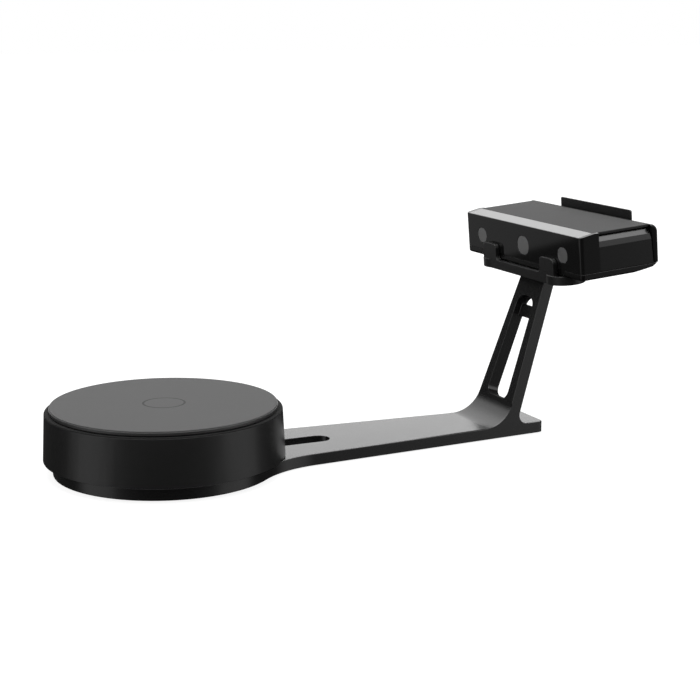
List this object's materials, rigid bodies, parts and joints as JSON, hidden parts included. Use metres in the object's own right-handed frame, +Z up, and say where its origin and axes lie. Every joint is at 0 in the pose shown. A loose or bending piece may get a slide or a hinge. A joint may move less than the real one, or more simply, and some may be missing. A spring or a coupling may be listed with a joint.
{
  "type": "desktop 3d scanner",
  "caption": "Desktop 3D scanner: motor-driven turntable on a cast base whose arm and slotted column carry a cradle with a removable projector and camera head.",
  "frame": {"origin": "underside of the feet, on the turntable's axis", "axes": "+Z up along the turntable's axis, +X along the arm towards the scan head, XZ is the plane the outside is alike on both sides of"},
  "size_m": [0.5462, 0.21, 0.2119],
  "materials": {
    "stand_paint": "cast, satin black paint",
    "cradle_paint": "cast, satin black paint",
    "drum_plastic": "fine satin grain",
    "tray_plastic": "matte",
    "platter_metal": "anodised dark",
    "grip_rubber": "matte",
    "foot_rubber": "matte",
    "mask_gloss": "polished",
    "window_glass": "coated",
    "bevel_silver": "fine silver",
    "cover_grey": "fine satin grain",
    "shell_black": "matte",
    "side_grey": "satin",
    "cap_black": "matte",
    "button_plastic": "satin",
    "steel": "turned",
    "screw_black": "black oxide",
    "gear_plastic": "natural acetal",
    "pinion_brass": "machined",
    "motor_case": "satin",
    "bracket_sheet": "zinc plated",
    "board_green": "solder mask",
    "socket_black": "moulded",
    "usb_shell": "plated",
    "bench_alu": "machined",
    "camera_case": "anodised black",
    "lens_barrel": "anodised black",
    "engine_case": "cast",
    "sink_alu": "extruded",
    "fan_plastic": "moulded",
    "insert_brass": "machined"
  },
  "bodies": {
    "stand": {"stand_casting": "stand_paint", "head_cradle": "cradle_paint", "cradle_screws": "screw_black", "base_feet": "foot_rubber", "arm_foot": "foot_rubber", "turntable_screws": "screw_black", "turntable_tray": "tray_plastic", "turntable_housing": "drum_plastic", "housing_screws": "steel", "lower_bearing": "steel", "upper_bearing": "steel", "stepper_motor": "motor_case", "motor_bracket": "bracket_sheet", "motor_screws": "steel", "turntable_board": "board_green", "turntable_board_screws": "steel", "turntable_socket": "socket_black"},
    "turning_platter": {"platter": "platter_metal", "platter_mat": "grip_rubber", "platter_spindle": "steel", "platter_screws": "screw_black", "drive_gear": "gear_plastic"},
    "pinion": {"drive_pinion": "pinion_brass", "motor_shaft": "steel"},
    "power_key": {"power_button": "button_plastic"},
    "fan": {"fan_rotor": "fan_plastic"},
    "scan_head": {"lower_shell": "shell_black", "tripod_insert": "insert_brass", "head_screws": "steel", "front_mask": "mask_gloss", "camera_window_left": "window_glass", "camera_window_right": "window_glass", "projector_window": "window_glass", "bevel_trim": "bevel_silver", "top_cover": "cover_grey", "side_panel_left": "side_grey", "side_panel_right": "side_grey", "rear_cap": "cap_black", "optical_bench": "bench_alu", "camera_module_left": "camera_case", "camera_module_right": "camera_case", "camera_lens_left": "lens_barrel", "camera_lens_right": "lens_barrel", "projector_module": "engine_case", "projector_lens": "lens_barrel", "heat_sink": "sink_alu", "main_board": "board_green", "usb_socket": "usb_shell", "power_inlet": "socket_black", "turntable_port": "socket_black", "power_switch": "socket_black", "fan_frame": "fan_plastic"}
  },
  "joints": [
    {"name": "platter_spin", "type": "hinge", "parent": "stand", "child": "turning_platter", "pos_m": [0, 0, 0.0588], "axis": [0, 0, 1], "continuous": true},
    {"name": "pinion_spin", "type": "hinge", "parent": "stand", "child": "pinion", "pos_m": [-0.06, 0, 0.0403], "axis": [0, 0, 1], "continuous": true},
    {"name": "head_lift", "type": "slide", "parent": "stand", "child": "scan_head", "axis": [-0.083, 0, 0.9966], "range_m": [0, 0.06]},
    {"name": "power_press", "type": "slide", "parent": "scan_head", "child": "power_key", "axis": [-0.9966, 0, -0.083], "range_m": [0, 0.0015], "stiffness_N_per_m": 400, "springref_m": -0.001},
    {"name": "fan_spin", "type": "hinge", "parent": "scan_head", "child": "fan", "pos_m": [0.4249, -0.0425, 0.18358], "axis": [0.9966, 0, 0.083], "continuous": true}
  ],
  "couplings": [
    {"joint": "pinion_spin", "follows": "platter_spin", "ratio": -4}
  ]
}
